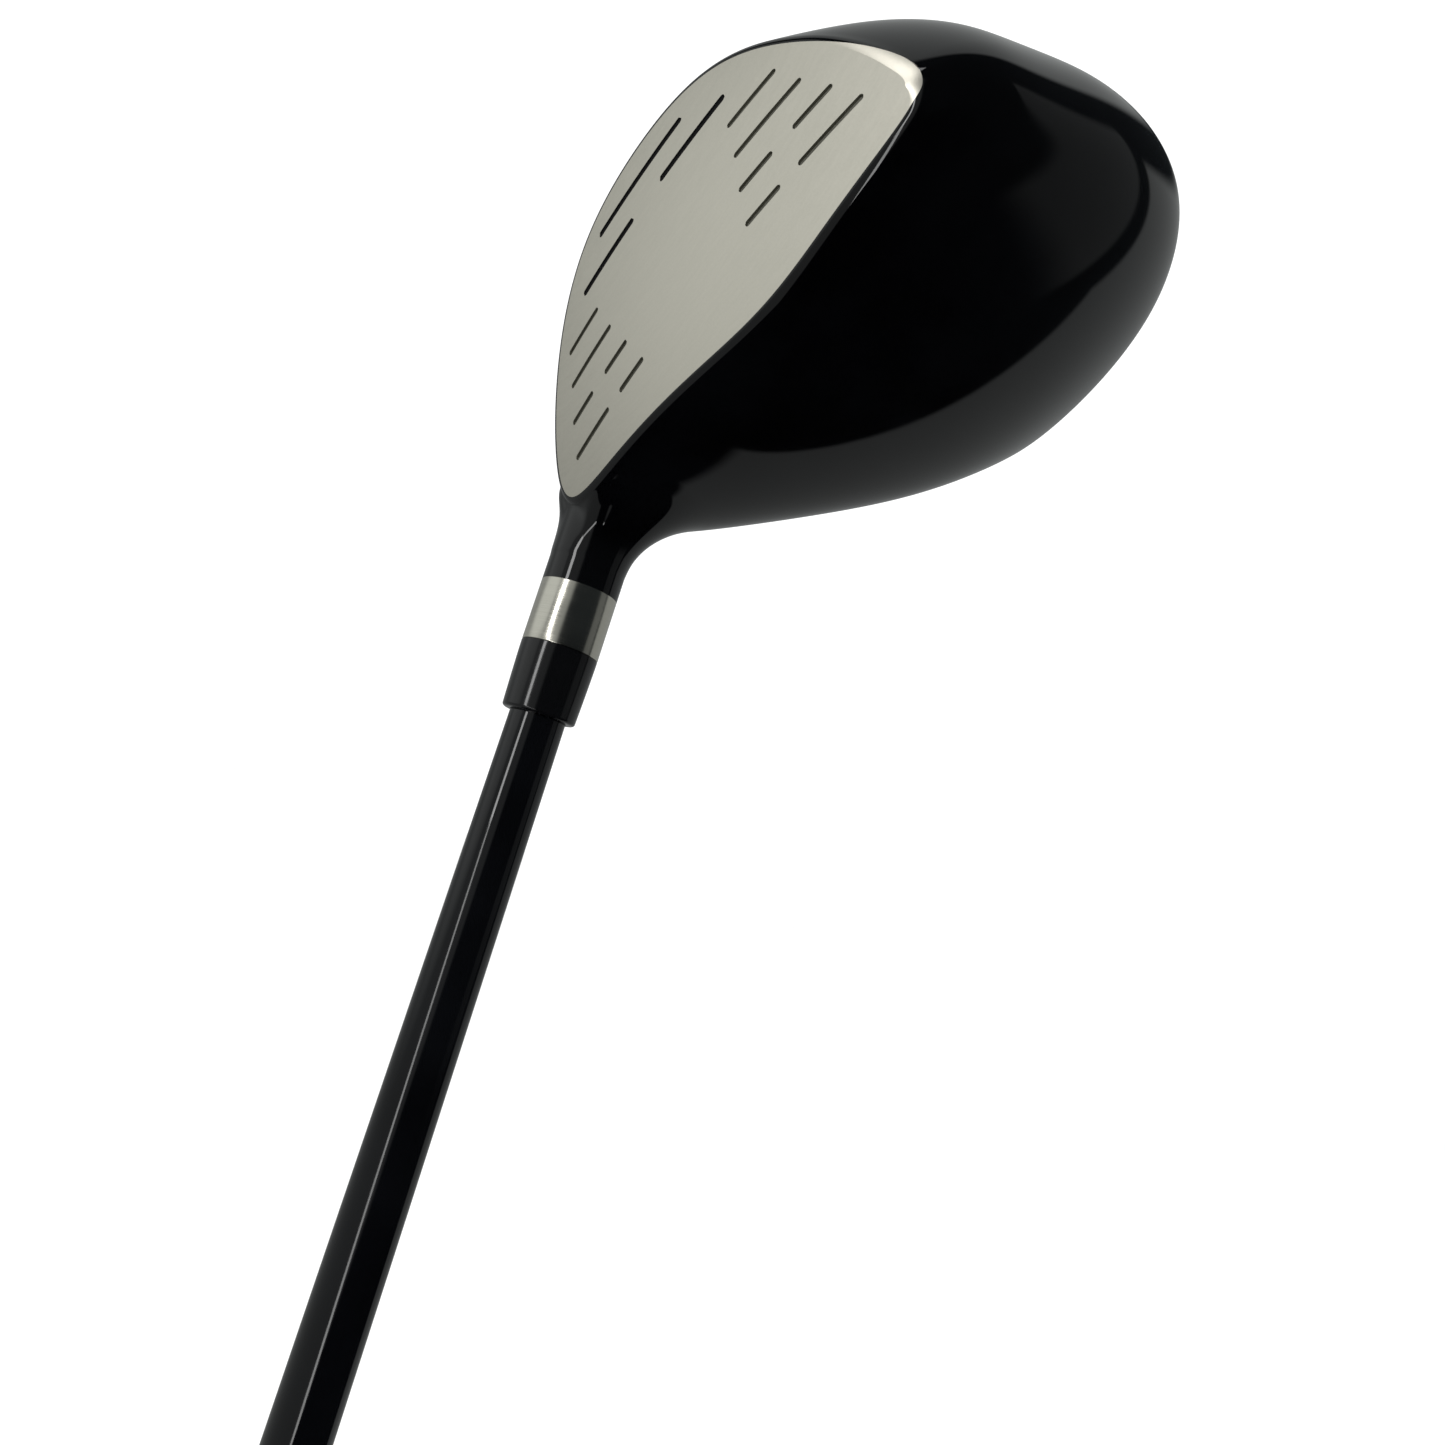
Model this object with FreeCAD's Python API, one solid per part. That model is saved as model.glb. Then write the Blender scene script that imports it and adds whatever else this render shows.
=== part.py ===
import FreeCAD, Part
import math, os

# Golf driver, right-handed, standing head up on its grip butt.
# Row frame: +Z along the shaft from the butt to the head, the striking face
# towards -Y, the toe towards +X. Origin at the centre of the grip's flat end.
# The head is drawn in its own frame (x heel to toe, y towards the target,
# z sole to crown, origin at the face centre) and then placed on the shaft.

# ---------------------------------------------------------------- dimensions
BUTT_T = 1101.0          # shaft axis length from the head's reference to the butt end
AX0 = (-33.505, -15.737, 0.0)        # point of the shaft axis at face-centre height
AXS = (-0.61527, 0.03941, 0.78733)   # shaft axis direction, head to grip

LOFT = math.radians(13.0)            # face loft
RF = 280.0                           # bulge and roll radius of the face
PLATE = 3.0                          # face plate thickness
GROOVE_W, GROOVE_D, FILL_T = 0.85, 0.5, 0.3
ROW0, PITCH = -19.34, 6.06           # lowest groove row and row pitch
WALL = 1.2                           # head shell wall
LEDGE = 1.5                          # weld ledge behind the face plate
EDGE_R = 2.0                         # rounded shoulder between face and body

BAND_T0, BAND_T1, BAND_R = 31.5, 43.2, 7.14     # bare end of the hosel tube
HOSEL_T0, HOSEL_R, HOSEL_BORE = -22.0, 6.0, 4.78
FERRULE_T1, FERRULE_R1 = 56.0, 6.72
TIP_R, TIP_T0 = 4.6, -19.0                      # shaft tip in the bore
SHAFT = [(43.2, 4.6), (56.0, 5.19), (150.0, 5.58), (330.0, 6.35), (820.0, 7.62), (1097.0, 7.62)]
SHAFT_IN = [(-19.0, 3.0), (60.0, 3.6), (330.0, 5.2), (820.0, 6.6), (1097.0, 6.6)]
PIN_R, PIN_L = 3.0, 20.0
TAPE_T0, TAPE_R = 836.0, 7.80
GRIP_T0, GRIP_T1 = 833.0, 1095.0
GRIP = [(833.0, 9.9), (836.0, 9.9), (838.0, 9.35), (880.0, 9.75), (960.0, 11.0), (1040.0, 12.6), (1085.0, 13.7), (1095.0, 14.3)]
CAP_R, VENT_R = 15.6, 2.0

# face outline: Fourier terms (constant, cos a, sin a, cos 2a, sin 2a, ...) in mm
FX = [2.49, 41.193, 1.724, -2.224, 1.498, 2.408, -0.428, 0.093, 0.964]
FV = [3.565, 1.12, 25.102, 5.47, 0.059, -0.171, 0.418, 1.49, -0.18]
# groove half pattern: (row, inner x, outer x), mirrored; row 0 runs across the centre
GROOVES = [(1, 4.0, 20.2), (2, 18.4, 28.9), (3, 17.1, 31.3), (4, 15.2, 22.4), (4, 26.8, 34.4),
           (5, 13.5, 20.9), (5, 24.8, 37.0)]
GROOVE0 = 12.0
# body table against the depth angle beta in degrees, face to rear
DEPTH = 92.0
BT = [0, 12.5, 25.8, 41.5, 56.8, 67.5, 90]
T_XC = [0, 3, 6.5, 10, 13.5, 15, 17]
T_WT = [66.9, 57.4, 57.7, 64.7, 72.5, 77.5, 81]
T_WH = [57.2, 54.5, 48.9, 42.5, 39.8, 41.1, 43]
T_ZE = [-0.85, -2.5, -5.9, -9.7, -11.9, -11.2, -8.4]
T_HU = [23, 26.2, 30.8, 35.3, 37, 35, 30]
T_HD = [32.5, 31.3, 30.2, 26.5, 21, 18, 17]
EB, B1 = 0.035, 45.0

# ---------------------------------------------------------------- small maths
def add(a, b, k=1.0):
    return (a[0] + k * b[0], a[1] + k * b[1], a[2] + k * b[2])
def sub(a, b):
    return add(a, b, -1.0)
def dot(a, b):
    return a[0] * b[0] + a[1] * b[1] + a[2] * b[2]
def cross(a, b):
    return (a[1] * b[2] - a[2] * b[1], a[2] * b[0] - a[0] * b[2], a[0] * b[1] - a[1] * b[0])
def norm(a):
    l = math.sqrt(dot(a, a))
    return (a[0] / l, a[1] / l, a[2] / l)
rad = math.radians
AXS = norm(AXS)
NV = (0.0, math.cos(LOFT), math.sin(LOFT))
UV = (0.0, -math.sin(LOFT), math.cos(LOFT))
V = lambda p: FreeCAD.Vector(*p)

class Spline:
    """natural cubic spline through a table"""
    def __init__(s, xs, ys):
        n = len(xs)
        a, b, c, d = [0.0] * n, [0.0] * n, [0.0] * n, [0.0] * n
        b[0] = b[-1] = 1.0
        for i in range(1, n - 1):
            h0, h1 = xs[i] - xs[i - 1], xs[i + 1] - xs[i]
            a[i], b[i], c[i] = h0, 2 * (h0 + h1), h1
            d[i] = 6 * ((ys[i + 1] - ys[i]) / h1 - (ys[i] - ys[i - 1]) / h0)
        for i in range(1, n):
            m = a[i] / b[i - 1]
            b[i] -= m * c[i - 1]
            d[i] -= m * d[i - 1]
        M = [0.0] * n
        M[-1] = d[-1] / b[-1]
        for i in range(n - 2, -1, -1):
            M[i] = (d[i] - c[i] * M[i + 1]) / b[i]
        s.x, s.y, s.M = xs, ys, M
    def __call__(s, x):
        i = 0
        while i < len(s.x) - 2 and x > s.x[i + 1]:
            i += 1
        h = s.x[i + 1] - s.x[i]
        A, B = (s.x[i + 1] - x) / h, (x - s.x[i]) / h
        return A * s.y[i] + B * s.y[i + 1] + ((A ** 3 - A) * s.M[i] + (B ** 3 - B) * s.M[i + 1]) * h * h / 6

XC, WT, WH = Spline(BT, T_XC), Spline(BT, T_WT), Spline(BT, T_WH)
ZE, HU, HD = Spline(BT, T_ZE), Spline(BT, T_HU), Spline(BT, T_HD)

def series(c, a):
    return c[0] + sum(c[1 + 2 * k] * math.cos((k + 1) * a) + c[2 + 2 * k] * math.sin((k + 1) * a) for k in range(4))

# ---------------------------------------------------------------- head surface
def face_pt(x, v):
    n = math.sqrt(RF * RF - x * x - v * v) - RF
    return (x, v * UV[1] + n * NV[1], v * UV[2] + n * NV[2])

def outline(a):
    x, v = series(FX, a), series(FV, a)
    e = 1e-4
    T = norm(sub(face_pt(series(FX, a + e), series(FV, a + e)), face_pt(series(FX, a - e), series(FV, a - e))))
    w = math.sqrt(RF * RF - x * x - v * v)
    n = norm((x, v * UV[1] + w * NV[1], v * UV[2] + w * NV[2]))
    o = cross(n, T)
    if o[0] * (x - 0.5) + (o[1] * UV[1] + o[2] * UV[2]) * v < 0:
        o = (-o[0], -o[1], -o[2])
    return face_pt(x, v), n, o

def section(b, a):
    cb, ca, sa = math.cos(rad(b)), math.cos(a), math.sin(a)
    W = (WT(b) + WH(b)) / 2 + (WT(b) - WH(b)) / 2 * ca
    H = (HU(b) + HD(b)) / 2 + (HU(b) - HD(b)) / 2 * sa
    cx = (ca - EB * math.cos(3 * a)) / (1 - EB)
    sx = (sa + EB * math.sin(3 * a)) / (1 - EB)
    return XC(b) + W * cx * cb, ZE(b) + H * sx * cb

def edge(a):
    """start of the body behind the rounded shoulder"""
    P, n, o = outline(a)
    E = add(add(P, o, EDGE_R), n, -EDGE_R)
    ds = 3 / rad(B1)
    for _ in range(4):
        Bx, Bz = section(0, a)
        t = norm((ds * (Bx - E[0]), -DEPTH - ds * E[1], ds * (Bz - E[2])))
        th = max(0.3, min(math.atan2(-dot(t, n), dot(t, o)), 1.65))
        E = add(add(P, o, EDGE_R * math.sin(th)), n, -EDGE_R * (1 - math.cos(th)))
    return E

def body(b, a, E=None):
    E = E or edge(a)
    s = 1 - (1 - min(b / B1, 1.0)) ** 3
    Bx, Bz = section(b, a)
    return ((1 - s) * E[0] + s * Bx, (1 - s) * E[1] - DEPTH * math.sin(rad(b)), (1 - s) * E[2] + s * Bz)

def body_in(b, a, d):
    """body point moved inwards by d"""
    e = 1e-3
    P = body(b, a)
    ta = sub(body(b, a + e), body(b, a - e))
    tb = sub(body(b + 0.05, a), body(b - 0.05, a))
    n = norm(cross(ta, tb))
    c = (XC(b), P[1], ZE(b))
    if dot(n, sub(P, c)) < 0:
        n = (-n[0], -n[1], -n[2])
    return add(P, n, -d)

def on_plane(P, d):
    """P moved along the face normal to the plane at distance d"""
    return add(P, NV, d - dot(P, NV))

def ring(pts):
    c = Part.BSplineCurve()
    c.interpolate(Points=[V(p) for p in pts], PeriodicFlag=True)
    return Part.Wire([c.toShape()])

NA = 40
ANG = [1.5 * math.pi + 2 * math.pi * i / NA for i in range(NA)]
EDG = {a: edge(a) for a in ANG}

def loft(rows):
    s = Part.makeLoft([ring(r) for r in rows], True, False)
    if s.ShapeType != "Solid":
        s = s.Solids[0]
    if s.Volume < 0:
        s.reverse()
    return s

outer_rows = [[on_plane(EDG[a], 3.0) for a in ANG], [EDG[a] for a in ANG]]
for b in (4, 8, 13, 19, 26, 34, 42, 50, 58, 66, 73, 79, 83.5):
    outer_rows.append([body(b, a, EDG[a]) for a in ANG])
inner_rows = [[on_plane(body_in(4, a, WALL), -7.6) for a in ANG]]
for b in (9, 14, 20, 27, 35, 43, 51, 59, 66, 73):
    inner_rows.append([body_in(b, a, WALL) for a in ANG])
inner_rows.append([(p[0], -89.2, p[2]) for p in (body_in(77, a, WALL) for a in ANG)])

CEN = V(tuple(-RF * c for c in NV))
ball = lambda r: Part.makeSphere(r, CEN)
outer = loft(outer_rows).common(ball(RF))
cavity = loft(inner_rows)
print("outer", outer.isValid(), round(outer.Volume), "cavity", cavity.isValid(), round(cavity.Volume))

def prism(off, d0, d1):
    """the face outline grown by off, from plane d0 down to plane d1"""
    pts = []
    for a in ANG:
        P, n, o = outline(a)
        pts.append(on_plane(add(P, o, off), d0))
    return Part.Face(ring(pts)).extrude(V(NV) * (d1 - d0))

def axis_pt(t):
    return V(add(AX0, AXS, t))

def cyl(r, t0, t1):
    return Part.makeCylinder(r, t1 - t0, axis_pt(t0), V(AXS))

def revolved(prof):
    """solid of revolution about the shaft axis, profile of (t, r)"""
    side = norm(cross(AXS, (0, 1, 0)))
    pts = [axis_pt(prof[0][0])] + [axis_pt(t) + V(side) * r for t, r in prof] + [axis_pt(prof[-1][0])]
    pts.append(pts[0])
    return Part.Face(Part.makePolygon(pts)).revolve(V(AX0), V(AXS), 360)

# neck of the body casting, flaring into the heel
NECK = [(-4.0, 9.2), (6.0, 9.2), (12.0, 9.0), (16.0, 8.6), (20.0, 8.0), (24.0, 7.5), (28.0, 7.2), (BAND_T0, BAND_R)]
head = outer.fuse(revolved(NECK)).cut(cavity)
head = head.cut(prism(0.02, 5.0, -12.0).cut(ball(RF - PLATE)))
head = head.cut(prism(-LEDGE, 5.0, -12.0))
head = head.cut(cyl(HOSEL_R, -30.0, 60.0))
if head.ShapeType != "Solid":
    head = max(head.Solids, key=lambda s: s.Volume)
print("head shell", head.isValid(), len(head.Solids), round(head.Volume))

# weld lines: crown plate above, sole plate below, both behind the face ring
def half(z0, z1, depth):
    box = Part.makeBox(200, 200, z1 - z0, FreeCAD.Vector(-100, -100, z0))
    slab = Part.makeBox(240, 200, 240, FreeCAD.Vector(-120, -200, -120))
    slab.rotate(FreeCAD.Vector(0, 0, 0), FreeCAD.Vector(1, 0, 0), math.degrees(LOFT))
    slab.translate(V(NV) * depth)
    return box.common(slab)
crown_cut = half(2.0, 60.0, -10.0).cut(cyl(11.5, -40.0, 70.0))
sole_cut = half(-60.0, -22.0, -10.0)
crown = head.common(crown_cut)
sole = head.common(sole_cut)
skirt = head.cut(crown_cut).cut(sole_cut)

# face plate with its recessed groove segments
def stadium(x0, x1, v, w, d0, d1):
    P = lambda x, y: V(add(add((x, 0, 0), UV, y), NV, d0))
    r = w / 2
    e = [Part.LineSegment(P(x0 + r, v - r), P(x1 - r, v - r)).toShape(),
         Part.Arc(P(x1 - r, v - r), P(x1, v), P(x1 - r, v + r)).toShape(),
         Part.LineSegment(P(x1 - r, v + r), P(x0 + r, v + r)).toShape(),
         Part.Arc(P(x0 + r, v + r), P(x0, v), P(x0 + r, v - r)).toShape()]
    return Part.Face(Part.Wire(e)).extrude(V(NV) * (d1 - d0))
segs = [(-GROOVE0, GROOVE0, 0)]
for row, a, b in GROOVES:
    segs += [(a, b, row), (-b, -a, row)]
core = ball(RF - GROOVE_D)
cutters = [stadium(a, b, ROW0 + PITCH * r, GROOVE_W, 1.0, -6.0).cut(core) for a, b, r in segs]
plate = prism(0.0, 4.0, -9.0).common(ball(RF)).cut(ball(RF - PLATE))
for c in cutters:
    plate = plate.cut(c)
fills = [stadium(a, b, ROW0 + PITCH * r, GROOVE_W, 1.0, -6.0).common(ball(RF - GROOVE_D + FILL_T)).cut(core)
         for a, b, r in segs if r < 2]
fill = Part.makeCompound([f.Solids[0] for f in fills])

# pieces inside the head, all following the inner wall
up = cavity.copy()
up.translate(FreeCAD.Vector(0, 0, 4.0))
strip = cavity.cut(up)
ribs = []
for x in (-10.0, 6.0, 22.0):
    ribs.append(strip.common(Part.makeBox(1.2, 46, 60, FreeCAD.Vector(x - 0.6, -62, -50))))
ribs = Part.makeCompound([max(r.Solids, key=lambda s: s.Volume) for r in ribs])
slug = cavity.common(Part.makeBox(30, 30, 10, FreeCAD.Vector(1, -96, -15))).common(
    Part.makeBox(60, 12, 40, FreeCAD.Vector(-10, -92, -30)))
glue = cavity.common(Part.makeSphere(10.0, FreeCAD.Vector(-2.0, -14.0, -36.5)))

# ---------------------------------------------------------------- placing the head
Zr = (-AXS[0], -AXS[1], -AXS[2])
Xr = norm(add((1, 0, 0), AXS, -AXS[0]))
Yr = cross(Zr, Xr)
O = add(AX0, AXS, BUTT_T)
M = FreeCAD.Matrix(Xr[0], Xr[1], Xr[2], -dot(Xr, O), Yr[0], Yr[1], Yr[2], -dot(Yr, O),
                   Zr[0], Zr[1], Zr[2], -dot(Zr, O), 0, 0, 0, 1)
PL = FreeCAD.Placement(M)
def placed(s):
    s = s.copy()
    s.Placement = PL.multiply(s.Placement)
    return s

# ---------------------------------------------------------------- shaft and grip, on Z
def Z(t):
    return BUTT_T - t
def turned(prof):
    """solid of revolution about Z, closed profile of (r, t)"""
    pts = [FreeCAD.Vector(r, 0, Z(t)) for r, t in prof]
    pts.append(pts[0])
    return Part.Face(Part.makePolygon(pts)).revolve(FreeCAD.Vector(0, 0, 0), FreeCAD.Vector(0, 0, 1), 360)
def tube(out, inn):
    """out and inn are lists of (t, r)"""
    return turned([(r, t) for t, r in out] + [(r, t) for t, r in reversed(inn)])

hosel = tube([(HOSEL_T0, HOSEL_R), (BAND_T0, HOSEL_R), (BAND_T0, BAND_R), (BAND_T1, BAND_R)],
             [(HOSEL_T0, HOSEL_BORE), (BAND_T1, HOSEL_BORE)])
plug = tube([(HOSEL_T0, HOSEL_BORE), (TIP_T0, HOSEL_BORE)], [(HOSEL_T0, 0.0), (TIP_T0, 0.0)])
bond = tube([(TIP_T0, HOSEL_BORE), (BAND_T1, HOSEL_BORE)], [(TIP_T0, TIP_R), (BAND_T1, TIP_R)])
shaft = tube([(TIP_T0, TIP_R)] + SHAFT, SHAFT_IN)
pin = tube([(TIP_T0, PIN_R), (TIP_T0 + PIN_L, PIN_R + 0.6 * PIN_L / 79.0)], [(TIP_T0, 0.0), (TIP_T0 + PIN_L, 0.0)])
ferrule = tube([(BAND_T1, BAND_R), (BAND_T1 + 6, 7.02), (FERRULE_T1 - 0.8, FERRULE_R1), (FERRULE_T1 - 0.25, FERRULE_R1 - 0.15),
                (FERRULE_T1, FERRULE_R1 - 0.7)],
               [(BAND_T1, TIP_R), (FERRULE_T1, 5.19)])
tape = tube([(TAPE_T0, TAPE_R), (GRIP_T1, TAPE_R)], [(TAPE_T0, 7.62), (GRIP_T1, 7.62)])
grip = tube(GRIP, [(833.0, 7.66), (TAPE_T0, 7.66), (TAPE_T0, TAPE_R), (GRIP_T1, TAPE_R)])
cap = tube([(GRIP_T1, 14.3), (1095.8, 15.0), (1097.5, CAP_R), (1099.0, CAP_R), (1100.4, 14.9), (BUTT_T, 13.6)],
           [(GRIP_T1, 7.62), (1097.0, 7.62), (1097.0, VENT_R), (BUTT_T, VENT_R)])

parts = {
    "face_plate": placed(plate), "groove_paint_fill": placed(fill),
    "crown_shell": placed(crown), "skirt_and_neck_shell": placed(skirt), "sole_plate": placed(sole),
    "sole_ribs": placed(ribs), "rear_weight_slug": placed(slug), "hot_melt_pad": placed(glue),
    "hosel_tube": hosel, "hosel_bottom_plug": plug, "epoxy_bond": bond, "ferrule": ferrule,
    "shaft": shaft, "swing_weight_pin": pin,
    "grip_tape": tape, "grip_sleeve": grip, "grip_end_cap": cap,
}
os.makedirs("parts", exist_ok=True)
for old in os.listdir("parts"):
    if old.endswith(".step") and old[:-5] not in parts:
        os.remove(os.path.join("parts", old))
for name, shape in parts.items():
    sol = shape.Solids
    if name not in ("groove_paint_fill", "sole_ribs") and len(sol) > 1:
        shape = max(sol, key=lambda s: s.Volume)
        print("  kept the largest of", [round(s.Volume, 3) for s in sol])
    elif len(sol) == 1:
        shape = sol[0]
    bb = shape.BoundBox
    print(name, shape.isValid(), len(shape.Solids), "vol %.1f" % shape.Volume,
          "box %.1f %.1f %.1f / %.1f %.1f %.1f" % (bb.XMin, bb.YMin, bb.ZMin, bb.XMax, bb.YMax, bb.ZMax))
    shape.exportStep("parts/%s.step" % name)
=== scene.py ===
import math
import bpy
import numpy as np
from mathutils import Matrix, Vector
from mathutils.geometry import delaunay_2d_cdt


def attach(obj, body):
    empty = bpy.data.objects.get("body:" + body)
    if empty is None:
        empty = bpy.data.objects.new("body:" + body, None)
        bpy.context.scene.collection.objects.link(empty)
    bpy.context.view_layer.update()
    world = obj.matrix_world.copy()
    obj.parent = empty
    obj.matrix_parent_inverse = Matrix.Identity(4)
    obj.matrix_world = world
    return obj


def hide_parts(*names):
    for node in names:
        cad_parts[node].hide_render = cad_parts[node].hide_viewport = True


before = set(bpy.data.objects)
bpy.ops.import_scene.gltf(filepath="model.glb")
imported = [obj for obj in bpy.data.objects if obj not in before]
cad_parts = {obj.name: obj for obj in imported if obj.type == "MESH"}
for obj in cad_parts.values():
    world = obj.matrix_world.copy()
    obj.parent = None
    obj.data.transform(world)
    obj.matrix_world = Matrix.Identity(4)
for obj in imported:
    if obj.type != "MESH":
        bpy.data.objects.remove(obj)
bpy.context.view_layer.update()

# ------------------------------------------------------------------ sizes, as in the CAD
BUTT_T = 1101.0
AX0 = np.array([-33.505, -15.737, 0.0])
AXS = np.array([-0.61527, 0.03941, 0.78733]); AXS /= np.linalg.norm(AXS)
LOFT = math.radians(13.0)
RF = 280.0
WALL = 1.2
EDGE_R = 2.0
BAND_T0, BAND_T1, BAND_R = 31.5, 43.2, 7.14
ROW0, PITCH = -19.34, 6.06
GROOVE_W, GROOVE_D, FILL_T = 0.85, 0.5, 0.3
FX = [2.49, 41.193, 1.724, -2.224, 1.498, 2.408, -0.428, 0.093, 0.964]
FV = [3.565, 1.12, 25.102, 5.47, 0.059, -0.171, 0.418, 1.49, -0.18]
GROOVES = [(1, 4.0, 20.2), (2, 18.4, 28.9), (3, 17.1, 31.3), (4, 15.2, 22.4), (4, 26.8, 34.4),
           (5, 13.5, 20.9), (5, 24.8, 37.0)]
DEPTH = 92.0
BT = [0, 12.5, 25.8, 41.5, 56.8, 67.5, 90]
T_XC = [0, 3, 6.5, 10, 13.5, 15, 17]
T_WT = [66.9, 57.4, 57.7, 64.7, 72.5, 77.5, 81]
T_WH = [57.2, 54.5, 48.9, 42.5, 39.8, 41.1, 43]
T_ZE = [-0.85, -2.5, -5.9, -9.7, -11.9, -11.2, -8.4]
T_HU = [23, 26.2, 30.8, 35.3, 37, 35, 30]
T_HD = [32.5, 31.3, 30.2, 26.5, 21, 18, 17]
EB, B1 = 0.035, 45.0
NV = np.array([0.0, math.cos(LOFT), math.sin(LOFT)])
UV = np.array([0.0, -math.sin(LOFT), math.cos(LOFT)])
XV = np.array([1.0, 0.0, 0.0])

# head frame to row frame
Zr = -AXS
Xr = XV - AXS[0] * AXS; Xr /= np.linalg.norm(Xr)
Yr = np.cross(Zr, Xr)
RM = np.array([Xr, Yr, Zr])
ORG = AX0 + AXS * BUTT_T
def row(P):
    return (np.asarray(P, float) - ORG) @ RM.T / 1000.0
def rowdir(d):
    return np.asarray(d, float) @ RM.T

def unit(v):
    return v / np.maximum(np.linalg.norm(v, axis=-1, keepdims=True), 1e-12)

class Spline:
    """natural cubic spline through a table, for arrays"""
    def __init__(s, xs, ys):
        x, y = np.array(xs, float), np.array(ys, float)
        n = len(x)
        A, r = np.eye(n), np.zeros(n)
        for i in range(1, n - 1):
            h0, h1 = x[i] - x[i - 1], x[i + 1] - x[i]
            A[i, i - 1], A[i, i], A[i, i + 1] = h0, 2 * (h0 + h1), h1
            r[i] = 6 * ((y[i + 1] - y[i]) / h1 - (y[i] - y[i - 1]) / h0)
        s.x, s.y, s.M = x, y, np.linalg.solve(A, r)
    def __call__(s, v):
        v = np.asarray(v, float)
        i = np.clip(np.searchsorted(s.x, v) - 1, 0, len(s.x) - 2)
        h = s.x[i + 1] - s.x[i]
        a, b = (s.x[i + 1] - v) / h, (v - s.x[i]) / h
        return a * s.y[i] + b * s.y[i + 1] + ((a ** 3 - a) * s.M[i] + (b ** 3 - b) * s.M[i + 1]) * h * h / 6
XC, WT, WH = Spline(BT, T_XC), Spline(BT, T_WT), Spline(BT, T_WH)
ZE, HU, HD = Spline(BT, T_ZE), Spline(BT, T_HU), Spline(BT, T_HD)

def series(c, a):
    return c[0] + sum(c[1 + 2 * k] * np.cos((k + 1) * a) + c[2 + 2 * k] * np.sin((k + 1) * a) for k in range(4))

def face_pt(x, v, d=0.0):
    w = np.sqrt(RF * RF - x * x - v * v)
    k = (RF + d) / RF
    n = w * k - RF
    return (x * k)[..., None] * XV + (v * k)[..., None] * UV + n[..., None] * NV
def face_n(x, v):
    w = np.sqrt(RF * RF - x * x - v * v)
    return unit(x[..., None] * XV + v[..., None] * UV + w[..., None] * NV)

def smooth(e0, e1, x):
    t = np.clip((x - e0) / (e1 - e0), 0, 1)
    return t * t * (3 - 2 * t)

def roll(a):
    """how far the face rolls over at the toe and crown corner, 0 to 1"""
    d = (np.degrees(a) + 180) % 360 - 180
    return smooth(-31, 2, d) * (1 - smooth(15, 29, d))
ROLL_IN, ROLL_R = 2.3, 2.4

def outline(a):
    x, v = series(FX, a), series(FV, a)
    e = 1e-4
    T = unit(face_pt(series(FX, a + e), series(FV, a + e)) - face_pt(series(FX, a - e), series(FV, a - e)))
    n = face_n(x, v)
    o = np.cross(n, T)
    s = np.sign(o[..., 0] * (x - 0.5) + (o @ UV) * v)
    return face_pt(x, v), n, o * s[..., None]

def section(b, a):
    cb, ca, sa = np.cos(np.radians(b)), np.cos(a), np.sin(a)
    W = (WT(b) + WH(b)) / 2 + (WT(b) - WH(b)) / 2 * ca
    H = (HU(b) + HD(b)) / 2 + (HU(b) - HD(b)) / 2 * sa
    cx = (ca - EB * np.cos(3 * a)) / (1 - EB)
    sx = (sa + EB * np.sin(3 * a)) / (1 - EB)
    return XC(b) + W * cx * cb, ZE(b) + H * sx * cb

def shoulder(a):
    """arc between face and body: start point, normal, outward direction, radius, turn, end point"""
    P, n, o = outline(a)
    w = roll(a)
    P = P - o * (ROLL_IN * w)[..., None]
    r = EDGE_R + ROLL_R * w
    th = np.full(np.shape(a), math.pi / 2)
    ds = 3 / math.radians(B1)
    for _ in range(8):
        E = P + o * (r * np.sin(th))[..., None] - n * (r * (1 - np.cos(th)))[..., None]
        Bx, Bz = section(np.zeros_like(a), a)
        t = unit(np.stack([ds * (Bx - E[..., 0]), -DEPTH - ds * E[..., 1], ds * (Bz - E[..., 2])], -1))
        th = np.clip(np.arctan2(-(t * n).sum(-1), (t * o).sum(-1)), 0.3, 1.65)
    E = P + o * (r * np.sin(th))[..., None] - n * (r * (1 - np.cos(th)))[..., None]
    return P, n, o, r, th, E

def body(b, a, E=None):
    if E is None:
        E = shoulder(a)[5]
    s = 1 - (1 - np.minimum(b / B1, 1.0)) ** 3
    Bx, Bz = section(b, a)
    return np.stack([(1 - s) * E[..., 0] + s * Bx, (1 - s) * E[..., 1] - DEPTH * np.sin(np.radians(b)),
                     (1 - s) * E[..., 2] + s * Bz], -1)

def body_n(b, a):
    e, f = 1e-3, 0.02
    ta = body(b, a + e) - body(b, a - e)
    b0, b1 = np.maximum(b - f, 0), np.minimum(b + f, 90)
    tb = body(b1, a) - body(b0, a)
    return unit(np.cross(ta, tb))

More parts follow.
